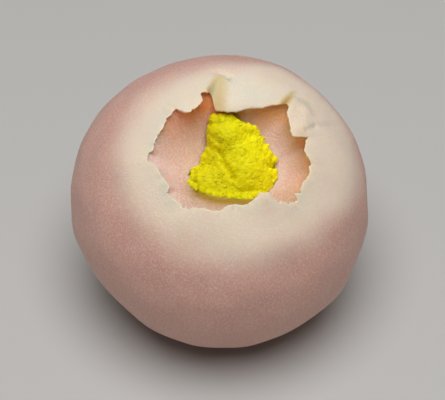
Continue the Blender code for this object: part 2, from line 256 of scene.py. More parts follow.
# The wall's height is read no farther out than this share of the hollow's width
HOLLOW_EDGE_SHARE = 0.999
CORE_COLUMNS = 360
HOLLOW_ROWS = 130
CORE_SIDE_ROWS = 26

# The crumb, in the mouth's frame from the ball's centre and in mm: centre and half sizes of each clump, and
# the tilt in degrees of the one that has it
CLUMPS = (
    ((0.05, 4.8, 13.5), (2.8, 2.8, 3.4)),
    ((2.6, 3.6, 12.2), (3.0, 2.8, 2.9)),
    ((4.5, 0.5, 10.5), (2.7, 3.2, 2.5)),
    ((3.2, -1.8, 10.7), (3.0, 2.5, 2.1)),
    ((0.6, -1.8, 10.8), (3.0, 2.3, 2.1)),
    ((-2.0, -1.0, 10.8), (3.0, 2.5, 2.3)),
    ((-4.0, -1.1, 11.2), (1.5, 1.3, 1.3)),
    ((-1.3, 2.5, 11.8), (1.8, 2.0, 2.4)),
    ((1.9, 0.8, 11.2), (4.2, 5.3, 3.4), 25.0),
    ((1.7, 2.8, 13.2), (2.6, 2.0, 2.4)),
    ((-1.1, 4.9, 14.6), (1.8, 1.8, 1.8)),
)
# Small clumps at the heap's outline: centre and radius, in the same frame and in mm
NUBS = (
    ((-1.76, 6.50, 15.6), 0.80), ((-0.80, 6.44, 16.0), 0.85), ((0.24, 6.39, 16.0), 0.80),
    ((1.23, 5.93, 15.7), 0.75), ((2.09, 5.58, 15.3), 0.70), ((2.96, 5.42, 14.8), 0.80),
    ((3.69, 5.51, 14.4), 0.70), ((3.93, 5.07, 14.0), 0.70), ((4.59, 4.23, 13.5), 0.70),
    ((5.32, 3.24, 13.0), 0.70), ((6.05, 2.54, 12.5), 0.60), ((6.86, 2.07, 12.0), 0.50),
    ((6.77, 0.50, 11.3), 0.62), ((6.87, -0.27, 10.8), 0.55), ((6.31, -1.40, 10.6), 0.60),
    ((-2.10, 5.69, 14.8), 0.60), ((-2.07, 4.73, 14.2), 0.60), ((-2.01, 3.76, 13.6), 0.65),
    ((-2.26, 2.94, 13.0), 0.65), ((-2.78, 2.18, 12.2), 0.70), ((-3.04, 1.42, 11.8), 0.60),
)
# Small clumps where the heap's edge lies on the hollow's wall: across and back, radius and lift above it
EDGE_NUBS = (
    ((-5.11, -2.10), 0.40, 0.15), ((-4.76, -2.36), 0.50, 0.25), ((-4.34, -2.68), 0.55, 0.3),
    ((-3.49, -2.88), 0.60, 0.15), ((-2.50, -3.14), 0.60, 0.1), ((-1.53, -3.42), 0.60, 0.1),
    ((-0.57, -3.60), 0.60, 0.1), ((0.53, -3.80), 0.60, 0.05), ((1.65, -3.84), 0.60, 0.0),
    ((2.60, -4.08), 0.60, 0.0), ((3.28, -4.14), 0.55, 0.1), ((-4.44, 0.02), 0.55, 0.2),
    ((-4.60, -1.13), 0.55, 0.3), ((-3.87, 0.50), 0.60, 0.3), ((-3.14, 1.02), 0.60, 0.3),
)
# Creases in the heap's top: the points of each, its half width and its depth, in the same frame and in mm
CREASES = (
    (((-1.0, 2.3), (-0.6, 1.5), (-0.2, 0.7)), 0.22, 0.6),
    (((-0.5, 0.9), (0.1, 0.0), (0.5, -0.7), (1.1, -1.4)), 0.34, 0.85),
    (((-2.6, 4.6), (-2.1, 3.95), (-1.4, 3.4), (-0.9, 3.1)), 0.35, 0.5),
    (((7.4, 1.3), (6.0, 1.1)), 0.28, 1.6),
    (((2.2, -2.9), (5.1, -2.5)), 0.28, 0.4),
)
# Fineness of the balls that the clumps are, and the voxels and rounds of smoothing that make them one
CLUMP_FINENESS = 4
NUB_FINENESS = 3
BODY_VOXEL = 0.15 * MM
BODY_SMOOTHING = 100
HEAP_VOXEL = 0.082 * MM
HEAP_SMOOTHING = 32
# Grains raised from the heap's surface, and how far they and the loose ones are sunk, in shares of a radius
PRESSED_GRAINS = 6000
PRESSED_DEPTH = (0.35, 0.85)
GRAINS_SOFTENED = 8
LOOSE_DEPTH = (0.15, 0.65)
GRAIN_SEED = 23
LOOSE_SEED = 11
# How much the grains differ in size, the half sizes of a loose one as shares of its radius, and its
# lumpiness, which is drawn up to a most
GRAIN_VARIETY = 0.22
GRAIN_STRETCH = (0.75, 1.3)
GRAIN_LUMPINESS = 0.2
GRAIN_LUMPINESS_MOST = 1.5
GRAIN_FINENESS = 2
# How far the heap's underside reaches into the hollow's wall, and how far above it the loose grains start
HEAP_SUNK = 0.05 * MM
GRAINS_ABOVE_WALL = 0.1 * MM

# Noise patterns of the materials: scale, detail and roughness
SKIN_MOTTLE = (260.0, 3.0, 0.55)
SKIN_SPECKLE = (3600.0, 2.0, 0.6)
SKIN_LUMPS = (900.0, 2.0, 0.5)
CORE_MOTTLE = (450.0, 3.0, 0.55)
CORE_SPECKLE = (3400.0, 2.0, 0.6)
CORE_LUMPS = (800.0, 3.0, 0.5)
CRUMB_MOTTLE = (900.0, 3.0, 0.6)
CRUMB_SPECKLE = (3200.0, 2.0, 0.6)
FLOOR_CLOUD = (6.0, 2.0, 0.5)
# Ranges of a pattern or a place, from low to high, with what they become where that isn't 0 to 1
SKIN_BLUSH_MOTTLED = (0.3, 0.7, -0.07, 0.07)
SKIN_BACK = (2.0 * MM, 16.0 * MM)
SKIN_GRAIN = (0.45, 0.75, 0.0, 0.45)
SKIN_GRAIN_WHERE_THIN_AND_SHADED = (0.0, 1.0, 1.0, 0.2)
CORE_MOTTLED = (0.35, 0.65)
CORE_RIGHT = (-3.0 * MM, 4.0 * MM)
# The next two place a painted shade towards the front of the hollow, along Y and along X
CORE_SHADE_LOW = (-3.0 * MM, -8.0 * MM)
CORE_SHADE_FRONT = (-6.5 * MM, -3.5 * MM)
CORE_GRAIN = (0.42, 0.72, 0.0, 0.9)
CORE_GRAIN_WHERE_PAINTED_SHADE = (0.0, 1.0, 1.0, 0.1)
CORE_GRAIN_AT_RIGHT = (0.0, 1.0, 1.0, 0.55)
CRUMB_MOTTLED = (0.32, 0.62)
# Over the next two the crumb's painted shade at the left and the front fades out
CRUMB_SHADE_FADES_RIGHT = (-1.0 * MM, 4.0 * MM)
CRUMB_SHADE_FADES_BACK = (-7.5 * MM, -4.5 * MM, 0.25)
# How light spreads inside each: weight, reach of its red, green and blue, and their scale
SKIN_SOFTNESS = (0.7, (1.0, 0.6, 0.35), 1.2 * MM)
CORE_SOFTNESS = (0.8, (1.0, 0.5, 0.3), 1.9 * MM)
HEAP_SOFTNESS = (0.7, (1.0, 0.95, 0.1), 1.1 * MM)
LOOSE_SOFTNESS = (0.7, (1.0, 0.95, 0.1), 0.3 * MM)
# Roughness and specular level of each
DOUGH_FINISH = (0.5, 0.35)
CRUMB_FINISH = (0.6, 0.12)
FLOOR_FINISH = (0.8, 0.2)
# Depths of the bumps of each, the coarser ones first
SKIN_BUMPS = (0.04 * MM, 0.06 * MM)
CORE_BUMPS = (0.08 * MM, 0.16 * MM)
CRUMB_BUMPS = (0.03 * MM, 0.03 * MM)

# The photograph's frame, and where the ball stands in it
PHOTO_SIZE = (445, 400)
BALL_IN_PHOTO = (221.257, 200.328)
BALL_RADIUS_IN_PHOTO = 147.411
CAMERA_ELEVATION = math.radians(46)
SENSOR_WIDTH = 36.0
CLIP_START = 1.0 * MM
# The stage
FLOOR_WIDTH = 4.0
FLOOR_CLOUDED = 0.97
LIGHT_PLACE = (0.0, -0.15, 0.70)
SKY_COLOUR = (1.0, 0.98, 0.95, 1.0)


def smooth_step(value):
    value = np.clip(value, 0.0, 1.0)
    return value * value * (3.0 - 2.0 * value)


def bell(away, width):
    """1 at no distance, and falling to nothing over about twice this width."""
    return np.exp(-((away / width) ** 2))


def eased_table(table, turn):
    """The value at each turn of a closed table of (turn, value), eased between its points."""
    turns = np.array([point[0] for point in table] + [table[0][0] + 360.0])
    values = np.array([point[1] for point in table] + [table[0][1]], float)
    turn = (turn - turns[0]) % 360.0 + turns[0]
    index = np.clip(np.searchsorted(turns, turn, side="left") - 1, 0, len(table) - 1)
    share = smooth_step((turn - turns[index]) / (turns[index + 1] - turns[index]))
    return values[index] + (values[index + 1] - values[index]) * share


def turned(vectors, tilt, sway):
    """The vectors swayed about Y and then tilted about X."""
    x, y, z = vectors[..., 0], vectors[..., 1], vectors[..., 2]
    x, z = x * np.cos(sway) + z * np.sin(sway), z * np.cos(sway) - x * np.sin(sway)
    return np.stack((x, y * np.cos(tilt) - z * np.sin(tilt), y * np.sin(tilt) + z * np.cos(tilt)), axis=-1)


def mouth_matrix():
    """Columns are the mouth's right, back and up."""
    return turned(np.eye(3), MOUTH_TILT, MOUTH_SWAY).T


def heading(polar, turn):
    """Unit direction from the ball's centre: in the mouth's frame near the mouth, upright at the foot."""
    held = 1.0 - smooth_step((polar - TILT_HELD_TO) / (180.0 - TILT_HELD_TO))
    polar, turn = np.radians(polar), np.radians(turn)
    across = np.sin(polar)
    local = np.stack((across * np.cos(turn), across * np.sin(turn), np.cos(polar)), axis=-1)
    return turned(local, MOUTH_TILT * held, MOUTH_SWAY * held)


def in_mouth(points):
    """The points in the mouth's frame, from the ball's centre."""
    return (points - BALL_CENTRE) @ mouth_matrix()


def from_mouth(local):
    """The points that these are in the mouth's frame."""
    return BALL_CENTRE + local @ mouth_matrix().T


def on_map(polar, turn):
    """Places on the map of the mouth: across and back."""
    turn = np.radians(turn)
    return polar * np.cos(turn), polar * np.sin(turn)


def angle_from(directions, other):
    return np.degrees(np.arccos(np.clip(directions @ other, -1.0, 1.0)))


def ball_radius(directions):
    radius = np.full(directions.shape[:-1], BALL_RADIUS)
    for azimuth, elevation, spread, height in PALM_MARKS:
        azimuth, elevation = math.radians(azimuth), math.radians(elevation)
        flat = math.cos(elevation)
        mark = np.array((flat * math.cos(azimuth), flat * math.sin(azimuth), math.sin(elevation)))
        radius += height * bell(angle_from(directions, mark), spread)
    return radius


def swells(directions):
    draw = random.Random(SWELL_SEED)
    height = np.zeros(directions.shape[:-1])
    for _ in range(SWELL_COUNT):
        wave = Vector([draw.gauss(0.0, 1.0) for _ in range(3)]).normalized()
        wave *= math.tau * BALL_RADIUS / draw.uniform(*SWELL_LENGTH)
        height += SWELL_HEIGHT * np.cos(directions @ np.array(wave) + draw.uniform(0.0, math.tau))
    return height


def flap_facet(across, back):
    """How far right of the pleat a place is, and the flap's curl there: 1 at the pleat and 0 at the crest."""
    pleat = PLEAT[0] + np.maximum(back - PLEAT[1], 0.0) * PLEAT[2]
    crest = CREST[0] + (back - CREST[1]) * CREST[2]
    from_pleat = across - pleat
    facing = np.clip(1.0 - from_pleat / np.maximum(crest - pleat, 1.0), 0.0, 1.0) ** CREST_SHARPNESS
    return from_pleat, facing


def flap_sink(polar, turn):
    """How far the flap at the back hangs below the ball's surface."""
    across, back = on_map(polar, turn)
    hung = np.maximum(FLAP_HINGE - back, 0.0) / FLAP_REACH
    from_pleat, facing = flap_facet(across, back)
    curled = smooth_step((hung - FLAP_CURL_HUNG[0]) / (FLAP_CURL_HUNG[1] - FLAP_CURL_HUNG[0]))
    droop = FLAP_DROOP * hung**FLAP_DROOP_POWER
    within = smooth_step(from_pleat / PLEAT_EASE)
    within = within * smooth_step((turn % 360.0 - FLAP_RIGHT_TURN) / FLAP_RIGHT_EASE)
    return np.where(back > 0.0, (droop + FLAP_CURL * facing * curled) * within, 0.0)


def lumps_and_folds(polar, turn):
    height = np.zeros(np.broadcast(polar, turn).shape)
    directions = heading(polar, turn)
    for lump_turn, lump_polar, spread, lump in LUMPS:
        middle = heading(np.array(float(lump_polar)), np.array(float(lump_turn)))
        height += lump * bell(angle_from(directions, middle), spread)
    place = np.stack(on_map(polar, turn), axis=-1)
    for start, end, width, fold in FOLDS:
        height += fold * bell(from_segment(place, start, end)[0], width)
    return height


def skin_thickness(polar, turn):
    """Thin over the hollow, and from there thicker down the sides."""
    thin_to = eased_table(HOLLOW_EDGE, turn) - SKIN_THIN_MARGIN
    return SKIN_EDGE + (SKIN_BODY - SKIN_EDGE) * smooth_step((polar - thin_to) / SKIN_TAPER)


def lip_thickness(polar, turn, tear, edge_thickness):
    """The skin's thickness, with its lip thinned towards the tear."""
    near = bell(np.maximum(polar - tear, 0.0) * DEGREE, EDGE_THINS_OVER)
    return skin_thickness(polar, turn) - (SKIN_EDGE - edge_thickness) * near


def settled(points, floor):
    """The points kept above a floor, with the corner between ball and floor eased."""
    over = points[..., 2] - floor
    eased = (over + FOOT_EASE) ** 2 / (4.0 * FOOT_EASE)
    height = np.where(over <= -FOOT_EASE, 0.0, np.where(over < FOOT_EASE, eased, over))
    return np.concatenate((points[..., :2], (floor + height)[..., None]), axis=-1)


def ball_points(polar, turn, depth, floor, relief=0.0):
    """Points this deep under the ball's surface, and no lower than this floor."""
    directions = heading(polar, turn)
    radius = ball_radius(directions) - flap_sink(polar, turn) - depth + relief
    return settled(BALL_CENTRE + directions * radius[..., None], floor)


def tear_rag(share, height):
    """The tear's fine raggedness at each share of the way round the mouth, as a length."""
    draw = random.Random(TEAR_SEED)
    rag = np.zeros_like(share)
    size = 0.0
    for wave in range(*TEAR_WAVES):
        part = (TEAR_WAVES[0] / wave) ** TEAR_WAVE_FALL * draw.uniform(*TEAR_WAVE_STRENGTH)
        rag += part * np.cos(math.tau * (wave * share + draw.random()))
        size += part * part / 2.0
    return height * rag / math.sqrt(size)


def tear_polar(turn):
    """Polar angle of the tear at each turn, without its fine raggedness."""
    turns, polars = zip(*TEAR)
    return np.interp(turn, turns, polars, period=360.0)


def tear_columns(count, rag_height):
    """Turn and polar angle of the tear at each column, closer together where the tear is long."""
    turn = np.arange(TEAR_STEPS + 1) * 360.0 / TEAR_STEPS
    across, back = on_map(tear_polar(turn), turn)
    walked = np.concatenate(((0.0,), np.cumsum(np.hypot(np.diff(across), np.diff(back)))))
    mixed = COLUMNS_BY_TEAR * walked / walked[-1] + (1.0 - COLUMNS_BY_TEAR) * turn / 360.0
    column_turn = np.interp(np.arange(count) / count, mixed, turn)
    column_walk = np.interp(column_turn, turn, walked / walked[-1])
    rag = tear_rag(column_walk, rag_height) * eased_table(TEAR_RAGGED, column_turn)
    return column_turn, tear_polar(column_turn) + rag / DEGREE


def clear_selection():
    if bpy.context.object is not None and bpy.context.object.mode != "OBJECT":
        bpy.ops.object.mode_set(mode="OBJECT")
    bpy.ops.object.select_all(action="DESELECT")


def points_of(piece, kind="co"):
    """The place of each of the piece's vertices, or another of its vectors."""
    points = np.empty(len(piece.data.vertices) * 3)
    piece.data.vertices.foreach_get(kind, points)
    return points.reshape(-1, 3)


def move_points(piece, points):
    piece.data.vertices.foreach_set("co", np.ascontiguousarray(points, dtype=np.float32).ravel())
    piece.data.update()


def add_value(piece, name, values):
    """A value for each vertex, which the piece's material reads by name."""
    attribute = piece.data.attributes.new(name, "FLOAT", "POINT")
    attribute.data.foreach_set("value", np.ascontiguousarray(values, dtype=np.float32).ravel())


def pushed_in_ball(name, points, values):
    """A UV sphere whose rows and columns are moved to points[row, column], closed at both poles."""
    rows, columns = points.shape[0] - 1, points.shape[1]
    clear_selection()
    bpy.ops.mesh.primitive_uv_sphere_add(segments=columns, ring_count=rows, radius=1.0)
    piece = bpy.context.object
    piece.name = piece.data.name = name
    start = points_of(piece)
    row = np.rint(np.arccos(np.clip(start[:, 2], -1.0, 1.0)) / math.pi * rows).astype(int)
    column = np.rint(np.arctan2(start[:, 1], start[:, 0]) / math.tau * columns).astype(int) % columns
    move_points(piece, points[row, column])
    for value_name, value in values.items():
        add_value(piece, value_name, value[row, column])
    bpy.ops.object.shade_smooth()
    while piece.data.uv_layers:
        piece.data.uv_layers.remove(piece.data.uv_layers[0])
    return piece


def apply_modifiers(piece):
    bpy.context.view_layer.objects.active = piece
    for modifier in list(piece.modifiers):
        bpy.ops.object.modifier_apply(modifier=modifier.name)


def side_polar(edge, share):
    """Polar angle this share of the way from the hollow's edge to the middle of the foot."""
    return edge + (180.0 - edge) * share**SIDE_ROWS_POWER


def skin_rows(turn, tear, settings):
    """Polar angle, depth and floor of the skin's rows, from inside at the bottom to the foot's middle."""
    edge = eased_table(HOLLOW_EDGE, turn)
    polars, depths, floors = [], [], []

    def add_row(polar, depth, floor):
        polars.append(polar + 0.0 * turn)
        depths.append(depth + 0.0 * turn)
        floors.append(np.full_like(turn, floor))

    for step in range(UNDERSIDE_ROWS, -1, -1):
        polar = side_polar(edge, step / UNDERSIDE_ROWS)
        add_row(polar, skin_thickness(polar, turn), SKIN_BODY)
    half = settings.edge_thickness / 2.0
    lip_from = tear + half / DEGREE
    for step in range(1, UNDER_LIP_ROWS + 1):
        polar = edge + (lip_from - edge) * step / UNDER_LIP_ROWS
        add_row(polar, lip_thickness(polar, turn, tear, settings.edge_thickness), SKIN_BODY)
    for step in range(1, EDGE_ROWS):
        angle = math.pi * (step / EDGE_ROWS - 0.5)
        polar = tear + (1.0 - math.cos(angle)) * half / DEGREE
        add_row(polar, half * (1.0 - math.sin(angle)), 0.0)
    for step in range(LIP_ROWS):
        polar = lip_from + (edge - lip_from) * (step / LIP_ROWS) ** LIP_ROWS_POWER
        add_row(polar, 0.0, 0.0)
    for step in range(OUTSIDE_ROWS + 1):
        add_row(side_polar(edge, step / OUTSIDE_ROWS), 0.0, 0.0)
    return np.array(polars), np.array(depths), np.array(floors)


def torn_skin(settings):
    turn, tear = tear_columns(SKIN_COLUMNS, settings.tear_rag)
    polar, depth, floor = skin_rows(turn, tear, settings)
    turn = np.broadcast_to(turn, polar.shape)
    from_tear = np.maximum(polar - tear, 0.0) * DEGREE
    lifted = tear_rag(np.arange(SKIN_COLUMNS) / SKIN_COLUMNS * EDGE_LIFT_WAVES, EDGE_LIFT)
    lifted = lifted * np.minimum(eased_table(TEAR_RAGGED, turn[0]), EDGE_LIFT_MOST)
    lifted = lifted * bell(from_tear, EDGE_LIFT_OVER) * (polar < EDGE_LIFT_TO)
    relief = np.where(depth < SKIN_EDGE, lumps_and_folds(polar, turn) + swells(heading(polar, turn)), 0.0)
    outside = np.arange(len(polar))[:, None] > UNDERSIDE_ROWS + UNDER_LIP_ROWS
    relief = np.where(outside, relief, 0.0) + lifted
    points = ball_points(polar, turn, depth, floor, relief)
    blush = smooth_step((polar - eased_table(BLUSH_MIDDLE, turn)) / (2.0 * BLUSH_HALF_WIDTH) + 0.5)
    torn = np.exp(-from_tear / TORN_REACH)
    values = {"blush": blush, "torn": torn, "thin_and_shaded": thin_and_shaded_dough(polar, turn)}
    return pushed_in_ball("torn_skin", points, values)


def thin_and_shaded_dough(polar, turn):
    """How thin and tan the dough looks: on the flap's curled left, where that tan is partly painted shade,
    where it is stretched at the right, and by the lump at the front right, where it is painted shade.
    """
    across, back = on_map(polar, turn)
    from_pleat = flap_facet(across, back)[0]
    facet = smooth_step((from_pleat - SHADED_THIN_FACET_LEFT) / -SHADED_THIN_FACET_LEFT / 2.0)
    facet = facet * (1.0 - smooth_step((across - SHADED_THIN_FACET_RIGHT) / SHADED_THIN_FACET_FADE))
    facet = facet * (1.0 - smooth_step((back - SHADED_THIN_FACET_BACK) / SHADED_THIN_FACET_EASE)) * (back > 0.0)
    place = np.stack((across, back), axis=-1)
    for start, end, width, strong_start, strong_end in THIN_AND_SHADED_STREAKS:
        away, share = from_segment(place, start, end)
        strength = strong_start + (strong_end - strong_start) * share
        facet = np.maximum(facet, strength * bell(away, width))
    return facet


def from_line(place, points):
    """Distance of places from a line through these points."""
    return np.min([from_segment(place, start, end)[0] for start, end in zip(points, points[1:])], axis=0)


def from_segment(place, start, end):
    """Distance of places from a segment, and how far along it each one's nearest point is, from 0 to 1."""
    start, along = np.array(start), np.array(end) - np.array(start)
    share = np.clip(((place - start) @ along) / (along @ along), 0.0, 1.0)
    return np.linalg.norm(place - start - share[..., None] * along, axis=-1), share


def hollow_middle():
    return BALL_CENTRE + mouth_matrix() @ np.array((0.0, HOLLOW_FLOOR_BACK, HOLLOW_FLOOR))


def edge_reach(turn):
    """From the middle of the hollow's floor to its edge in the mouth's frame: as it is, and smoothed."""
    edge = core_edge(turn)
    rim = ball_points(edge, turn, core_depth(edge, turn) + core_gap(turn), SKIN_BODY + GAP)
    reach = (rim - hollow_middle()) @ mouth_matrix()
    apart = (turn[:, None] - turn[None, :] + 180.0) % 360.0 - 180.0
    weights = np.exp(-0.5 * (apart / WALL_SMOOTHED_OVER) ** 2)
    return reach, (weights / weights.sum(axis=1, keepdims=True)) @ reach


def wall_height(out, turn):
    """Height of the hollow's wall, in shares of its edge's, this far out in shares of its edge's width."""
    squareness = eased_table(HOLLOW_SQUARENESS, turn)
    upright = 1.0 - (1.0 - np.clip(out, 0.0, 1.0) ** squareness) ** (1.0 / squareness)
    return upright + (out**WALL_STEEPNESS - upright) * eased_table(WALL_SLOPED, turn)


def hollow_points(share, turn):
    """The hollow's wall, from its upper edge (share 0) to the middle of its floor (share 1)."""
    reach, smoothed = edge_reach(turn)
    angle = share[:, None] * math.pi / 2.0
    power = 2.0 / eased_table(HOLLOW_SQUARENESS, turn)
    aside = np.maximum(np.cos(angle), 0.0) ** power
    up = wall_height(aside, turn)
    from_front = (np.sin(np.radians(turn)) - HOLLOW_BULGE_FRONT) / (1.0 - HOLLOW_BULGE_FRONT)
    bulge = HOLLOW_BULGE * np.sin(2.0 * angle) * smooth_step(from_front)
    outward = smoothed[:, :2] / np.linalg.norm(smoothed[:, :2], axis=-1, keepdims=True)
    flat = smoothed[:, :2] * aside[..., None] + outward * bulge[..., None]
    wall = np.concatenate((flat, (smoothed[:, 2] * up)[..., None]), axis=-1)
    wall += (reach - smoothed) * bell(share[:, None, None], WALL_SMOOTH_FROM)
    return hollow_middle() + wall @ mouth_matrix().T


def core_edge(turn):
    """Polar angle of the hollow's upper edge: as in the solids, or just past the tear where it lies flush."""
    near = [tear_polar(turn + shift) for shift in range(-FLUSH_SPREAD, FLUSH_SPREAD + 1)]
    widest = np.max(near[FLUSH_SPREAD - 1 : FLUSH_SPREAD + 2], axis=0)
    flush = np.maximum(np.mean(near, axis=0), widest) + eased_table(FLUSH_EDGE, turn)
    return np.minimum(eased_table(HOLLOW_EDGE, turn), flush)


def core_depth(polar, turn):
    """Depth of the skin's underside over the pink dough."""
    return lip_thickness(polar, turn, tear_polar(turn), EDGE_THICKNESS)


def core_gap(turn):
    """How far the pink dough lies under the skin at the hollow's edge."""
    opened = smooth_step((eased_table(FLUSH_EDGE, turn) - GAP_CLOSE_TO) / GAP_OPENS_OVER)
    return CLOSE_GAP + (GAP - CLOSE_GAP) * opened


def hollow_core():
    turn = np.arange(CORE_COLUMNS) * 360.0 / CORE_COLUMNS
    edge = core_edge(turn)
    gap = core_gap(turn)
    shares = np.linspace(1.0, 0.0, HOLLOW_ROWS + 1)[:-1]
    wall = hollow_points(shares, turn)
    step = np.linspace(0.0, 1.0, CORE_SIDE_ROWS + 1)[:, None]
    polar = side_polar(edge, step)
    turns = np.broadcast_to(turn, polar.shape)
    side_gap = gap + (GAP - gap) * smooth_step(step * GAP_OPENS_DOWN)
    side = ball_points(polar, turns, core_depth(polar, turns) + side_gap, SKIN_BODY + GAP)
    points = np.concatenate((wall, side))
    from_rim = np.concatenate((np.linalg.norm(wall - wall[-1], axis=-1), np.zeros_like(polar)))
    # Painted shade and glow under the rim, strongest by it and fading down the wall
    rim_shade_and_glow = np.maximum(
        eased_table(RIM_SHADE_AND_GLOW, turn) * bell(from_rim, RIM_SHADE_AND_GLOW_REACH),
        eased_table(RIM_LINE_SHADE_AND_GLOW, turn) * bell(from_rim, RIM_LINE_SHADE_AND_GLOW_REACH),
    )
    # Painted shadow of the heap's front edge on the dough, tinted yellow
    heap_shadow = bell(from_line(in_mouth(points)[..., :2] / MM, HEAP_SHADOW_EDGE), HEAP_SHADOW_REACH)
    return pushed_in_ball("hollow_core", points, {"rim_shade_and_glow": rim_shade_and_glow, "heap_shadow": heap_shadow})


def hollow_height(flat):
    """Height of the hollow's floor and wall above the ball's centre, in the mouth's frame, at flat places."""
    turn = np.arange(CORE_COLUMNS) * 360.0 / CORE_COLUMNS
    smoothed = edge_reach(turn)[1]
    edge_turn = np.degrees(np.arctan2(smoothed[:, 1], smoothed[:, 0])) % 360.0
    order = np.argsort(edge_turn)
    place_turn = np.degrees(np.arctan2(flat[:, 1] - HOLLOW_FLOOR_BACK, flat[:, 0])) % 360.0
    edge_width = np.hypot(smoothed[:, 0], smoothed[:, 1])
    width = np.interp(place_turn, edge_turn[order], edge_width[order], period=360.0)
    height = np.interp(place_turn, edge_turn[order], smoothed[order, 2], period=360.0)
    out = np.clip(np.hypot(flat[:, 0], flat[:, 1] - HOLLOW_FLOOR_BACK) / width, 0.0, HOLLOW_EDGE_SHARE)
    return HOLLOW_FLOOR + height * wall_height(out, place_turn)


def crumb_relief(piece, name, kind, size, height):
    """Displaces the piece by one of Blender's own patterns: rounded crumbs of this size and height."""
    pattern = bpy.data.textures.new(name, kind)
    pattern.noise_scale = size
    displace = piece.modifiers.new(name, "DISPLACE")
    displace.texture = pattern
    displace.texture_coords = "LOCAL"
    displace.strength = height
    displace.mid_level = 0.5


def crease_depth(flat):
    """How deep the heap's creases are at each flat place, in mm."""
    depth = np.zeros(len(flat))
    for points, width, deepest in CREASES:
        depth = np.maximum(depth, deepest * bell(from_line(flat, points), width))
    return depth


def one_clump(fineness, centre, half_sizes, tilt=0.0):
    """A clump at this place in the mouth's frame, tilted so that its back rises."""
    turn = Matrix(mouth_matrix().tolist()) @ Matrix.Rotation(math.radians(tilt), 3, "X")
    clear_selection()
    bpy.ops.mesh.primitive_ico_sphere_add(
        subdivisions=fineness,
        radius=1.0,
        location=BALL_CENTRE + mouth_matrix() @ (np.array(centre) * MM),
        rotation=turn.to_euler(),
    )
    clump = bpy.context.object
    clump.scale = [half * MM for half in half_sizes]
    bpy.ops.object.transform_apply(location=True, rotation=True, scale=True)
    return clump


def joined(pieces):
    """The first piece, with the others joined to it."""
    clear_selection()
    for piece in pieces:
        piece.select_set(True)
    bpy.context.view_layer.objects.active = pieces[0]
    bpy.ops.object.join()
    return pieces[0]


def crumb_heap(settings):
    """Clumps joined by a remesh, creased, covered with pressed grains and laid in the hollow."""
    nubs = [(centre, [radius] * 3) for centre, radius in NUBS]
    for place, radius, lift in EDGE_NUBS:
        wall = hollow_height(np.array([place]) * MM)[0] / MM
        nubs.append(((*place, wall + lift), [radius] * 3))
    heap = joined([one_clump(CLUMP_FINENESS, *clump) for clump in CLUMPS])
    heap.name = heap.data.name = "crumb_heap"
    join_by_voxels(heap, BODY_VOXEL, BODY_SMOOTHING)
    apply_modifiers(heap)
    heap = joined([heap] + [one_clump(NUB_FINENESS, *nub) for nub in nubs])
    join_by_voxels(heap, HEAP_VOXEL, HEAP_SMOOTHING)
    crumb_relief(heap, "clods", "CLOUDS", settings.clod_size, settings.clod_height)
    crumb_relief(heap, "crumbs", "VORONOI", settings.crumb_size, -settings.crumb_height)
    apply_modifiers(heap)
    local = in_mouth(points_of(heap))
    local[:, 2] -= crease_depth(local[:, :2] / MM) * MM
    move_points(heap, from_mouth(local))
    raise_grains(heap, settings.pressed_size)
    local = in_mouth(points_of(heap))
    local[:, 2] = np.maximum(local[:, 2], hollow_height(local[:, :2]) - HEAP_SUNK)
    move_points(heap, from_mouth(local))
    bpy.ops.object.shade_smooth()
    return heap


def raise_grains(heap, size):
    """Raises the heap's surface into grains, each a ball that is partly sunk in it."""
    draw = np.random.default_rng(GRAIN_SEED)
    heap.data.update()
    points, normals = points_of(heap), points_of(heap, "normal")
    tree = kdtree.KDTree(len(points))
    for index, point in enumerate(points):
        tree.insert(point, index)
    tree.balance()
    chosen = draw.choice(len(points), size=PRESSED_GRAINS, replace=False)
    radii = size / 2.0 * np.exp(draw.normal(0.0, GRAIN_VARIETY, PRESSED_GRAINS))
    sunk = draw.uniform(*PRESSED_DEPTH, PRESSED_GRAINS)
    raised = np.zeros(len(points))
    for place, radius, depth in zip(points[chosen], radii, sunk):
        for _, index, away in tree.find_range(place, radius):
            raised[index] = max(raised[index], math.sqrt(radius * radius - away * away) - depth * radius)
    move_points(heap, points + normals * raised[:, None])
    soften(heap, GRAINS_SOFTENED)
    apply_modifiers(heap)


def soften(piece, iterations):
    smooth = piece.modifiers.new("soften", "SMOOTH")
    smooth.factor = 0.5
    smooth.iterations = iterations


def join_by_voxels(piece, voxel, smoothing):
    """Modifiers that make the piece's overlapping shells one surface and soften it."""
    remesh = piece.modifiers.new("one surface", "REMESH")
    remesh.mode = "VOXEL"
    remesh.voxel_size = voxel
    soften(piece, smoothing)


def one_grain():
    """Points and faces of one rounded grain of radius 1."""
    clear_selection()
    bpy.ops.mesh.primitive_ico_sphere_add(subdivisions=GRAIN_FINENESS, radius=1.0)
    grain = bpy.context.object
    points = points_of(grain)
    faces = np.array([list(face.vertices) for face in grain.data.polygons])
    bpy.data.objects.remove(grain)
    return points, faces


def random_turns(count, draw):
    """One random rotation matrix for each grain."""
    quaternions = draw.normal(size=(count, 4))
    w, x, y, z = (quaternions / np.linalg.norm(quaternions, axis=1, keepdims=True)).T
    rows = (
        (1 - 2 * (y * y + z * z), 2 * (x * y - w * z), 2 * (x * z + w * y)),
        (2 * (x * y + w * z), 1 - 2 * (x * x + z * z), 2 * (y * z - w * x)),
        (2 * (x * z - w * y), 2 * (y * z + w * x), 1 - 2 * (x * x + y * y)),
    )
    return np.array(rows).transpose(2, 0, 1)


